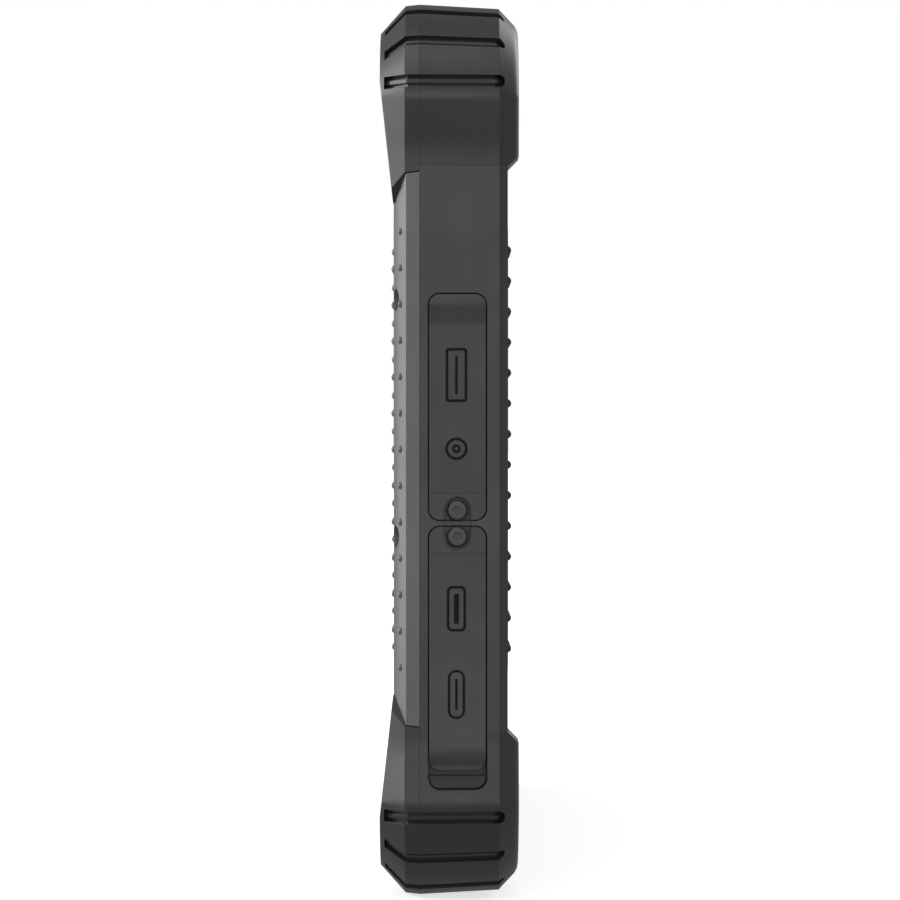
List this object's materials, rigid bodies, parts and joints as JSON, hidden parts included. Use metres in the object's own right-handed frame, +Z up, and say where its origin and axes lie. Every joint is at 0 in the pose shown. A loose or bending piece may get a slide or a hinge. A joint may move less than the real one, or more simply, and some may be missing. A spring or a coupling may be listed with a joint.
{
  "type": "rugged tablet data collector",
  "caption": "Rugged tablet data collector with a display, corner bumpers, grip wings, feet on its back and hinged rubber port covers in one end.",
  "frame": {"origin": "middle of the lower long edge's lowest line, between the two ends and half way through the thickness", "axes": "+X along the long side towards the end with the port covers, +Y out of the back, +Z up along the short side; the display faces -Y"},
  "size_m": [0.228, 0.0234, 0.152],
  "materials": {
    "shell_plastic": "fine-grained moulded polycarbonate blend, dark grey",
    "bumper_rubber": "fine-grained moulded elastomer, dark grey",
    "wing_plastic": "fine-grained moulded plastic, mid grey",
    "cover_rubber": "moulded silicone rubber, dark grey",
    "display_glass": "polished cover glass with a printed black border",
    "display_black": "dark display",
    "adhesive": "black foam tape",
    "key_plastic": "moulded key caps, light grey",
    "button_plastic": "moulded buttons",
    "steel": "blackened steel screws",
    "connector_steel": "stamped steel shells",
    "board_green": "solder mask",
    "shield_steel": "tinned steel cans",
    "chassis_metal": "die-cast light alloy",
    "battery_wrap": "shrink wrap",
    "seal_rubber": "silicone seal",
    "grip_rubber": "dotted grip pads",
    "camera_black": "camera housing",
    "lens_glass": "clear lens",
    "light_lens": "diffusing light pipe",
    "speaker_black": "speaker housing",
    "antenna_ceramic": "ceramic patch",
    "brass": "knurled thread inserts"
  },
  "bodies": {
    "case": {"audio_jack": "camera_black", "back_grip_left": "grip_rubber", "back_grip_right": "grip_rubber", "battery_cover": "shell_plastic", "battery_cover_screws": "steel", "battery_pack": "battery_wrap", "battery_seal": "seal_rubber", "board_standoffs": "brass", "bumper_screws": "steel", "camera_window": "lens_glass", "case_screws": "steel", "case_seal": "seal_rubber", "chassis": "chassis_metal", "cover_glass": "display_glass", "data_port": "connector_steel", "display_panel": "display_black", "flash_lens": "light_lens", "front_bumper_lower_left": "bumper_rubber", "front_bumper_lower_right": "bumper_rubber", "front_bumper_upper_left": "bumper_rubber", "front_bumper_upper_right": "bumper_rubber", "front_camera": "camera_black", "front_frame": "shell_plastic", "glass_adhesive": "adhesive", "key_board": "board_green", "key_mat": "seal_rubber", "lower_cover_anchor": "cover_rubber", "main_board": "board_green", "port_cover_screws": "steel", "power_port": "connector_steel", "rear_bumper_lower_left": "bumper_rubber", "rear_bumper_lower_right": "bumper_rubber", "rear_bumper_upper_left": "bumper_rubber", "rear_bumper_upper_right": "bumper_rubber", "rear_camera": "camera_black", "rear_shell": "shell_plastic", "satellite_antenna": "antenna_ceramic", "shield_cans": "shield_steel", "side_key_board": "board_green", "speaker_left": "speaker_black", "speaker_right": "speaker_black", "status_lights": "light_lens", "strap_inserts": "brass", "upper_cover_anchor": "cover_rubber", "video_port": "connector_steel", "wing_left": "wing_plastic", "wing_right": "wing_plastic", "wing_screws": "steel"},
    "upper_port_cover": {"upper_port_cover": "cover_rubber"},
    "lower_port_cover": {"lower_port_cover": "cover_rubber"},
    "front_key_1": {"front_key_1": "key_plastic"},
    "front_key_2": {"front_key_2": "key_plastic"},
    "front_key_3": {"front_key_3": "key_plastic"},
    "front_key_4": {"front_key_4": "key_plastic"},
    "power_button": {"power_button": "button_plastic"},
    "volume_up_button": {"volume_up_button": "button_plastic"},
    "volume_down_button": {"volume_down_button": "button_plastic"}
  },
  "joints": [
    {"name": "upper_cover_hinge", "type": "hinge", "parent": "case", "child": "upper_port_cover", "pos_m": [0.1122, -0.005, 0.0687], "axis": [-0.0558, 0.9984, 0], "range_deg": [0, 95], "stiffness_Nm_per_rad": 0.002},
    {"name": "lower_cover_hinge", "type": "hinge", "parent": "case", "child": "lower_port_cover", "pos_m": [0.1122, -0.005, 0.0586], "axis": [0.0558, -0.9984, 0], "range_deg": [0, 95], "stiffness_Nm_per_rad": 0.002},
    {"name": "front_key_1_press", "type": "slide", "parent": "case", "child": "front_key_1", "axis": [0, 1, 0], "range_m": [0, 0.0004], "stiffness_N_per_m": 1000, "springref_m": -0.0002},
    {"name": "front_key_2_press", "type": "slide", "parent": "case", "child": "front_key_2", "axis": [0, 1, 0], "range_m": [0, 0.0004], "stiffness_N_per_m": 1000, "springref_m": -0.0002},
    {"name": "front_key_3_press", "type": "slide", "parent": "case", "child": "front_key_3", "axis": [0, 1, 0], "range_m": [0, 0.0004], "stiffness_N_per_m": 1000, "springref_m": -0.0002},
    {"name": "front_key_4_press", "type": "slide", "parent": "case", "child": "front_key_4", "axis": [0, 1, 0], "range_m": [0, 0.0004], "stiffness_N_per_m": 1000, "springref_m": -0.0002},
    {"name": "power_button_press", "type": "slide", "parent": "case", "child": "power_button", "axis": [0, -0.0558, -0.9984], "range_m": [0, 0.0005], "stiffness_N_per_m": 1000, "springref_m": -0.0002},
    {"name": "volume_up_button_press", "type": "slide", "parent": "case", "child": "volume_up_button", "axis": [0, -0.0558, -0.9984], "range_m": [0, 0.0005], "stiffness_N_per_m": 1000, "springref_m": -0.0002},
    {"name": "volume_down_button_press", "type": "slide", "parent": "case", "child": "volume_down_button", "axis": [0, -0.0558, -0.9984], "range_m": [0, 0.0005], "stiffness_N_per_m": 1000, "springref_m": -0.0002}
  ]
}
